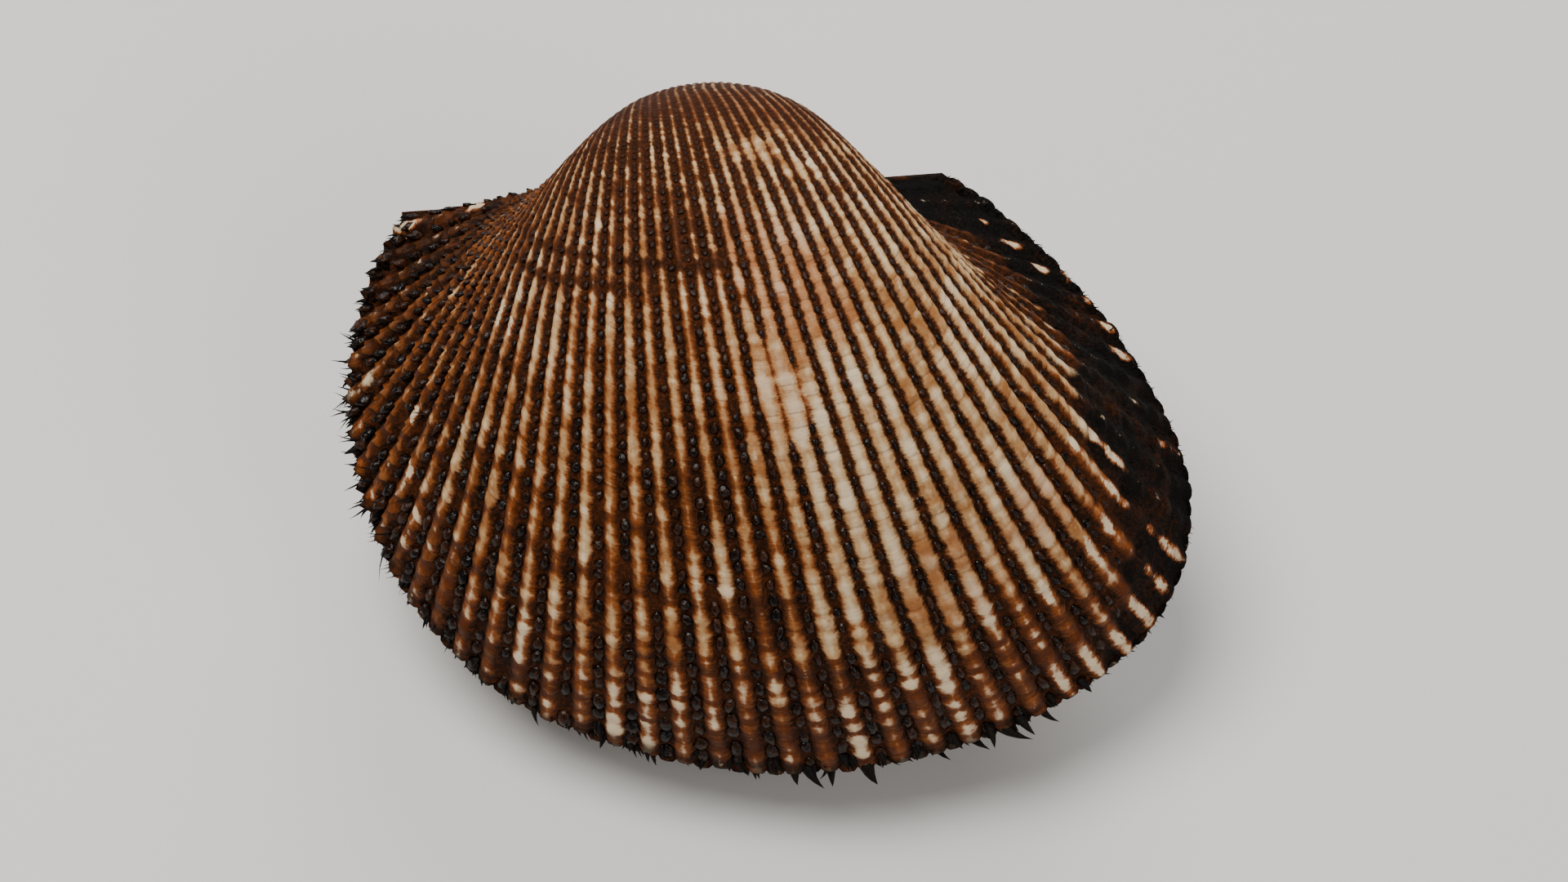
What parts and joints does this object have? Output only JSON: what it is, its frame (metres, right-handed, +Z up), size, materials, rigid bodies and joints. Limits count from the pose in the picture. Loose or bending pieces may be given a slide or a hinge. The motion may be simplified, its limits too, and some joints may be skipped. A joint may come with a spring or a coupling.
{
  "type": "ark clam shell",
  "caption": "Closed ark clam shell with strong radial ribs, dark scaly skin in the furrows and a straight hinge under two curled beaks.",
  "frame": {"origin": "middle of the underside of the bounding box, on the surface that the shell lies on", "axes": "+X from the front of the shell to its rear along the hinge line, +Y toward the hinge, +Z up; the shell lies on its right valve"},
  "size_m": [0.081, 0.0632, 0.0504],
  "materials": {
    "left_valve": "cream to orange-brown shell with a blackish brown skin in the furrows, satin",
    "right_valve": "cream to orange-brown shell with a blackish brown skin in the furrows, satin",
    "ligament": "dried blackish brown ligament"
  },
  "bodies": {
    "root": {"left_valve": "left_valve", "right_valve": "right_valve", "ligament": "ligament"}
  },
  "joints": []
}
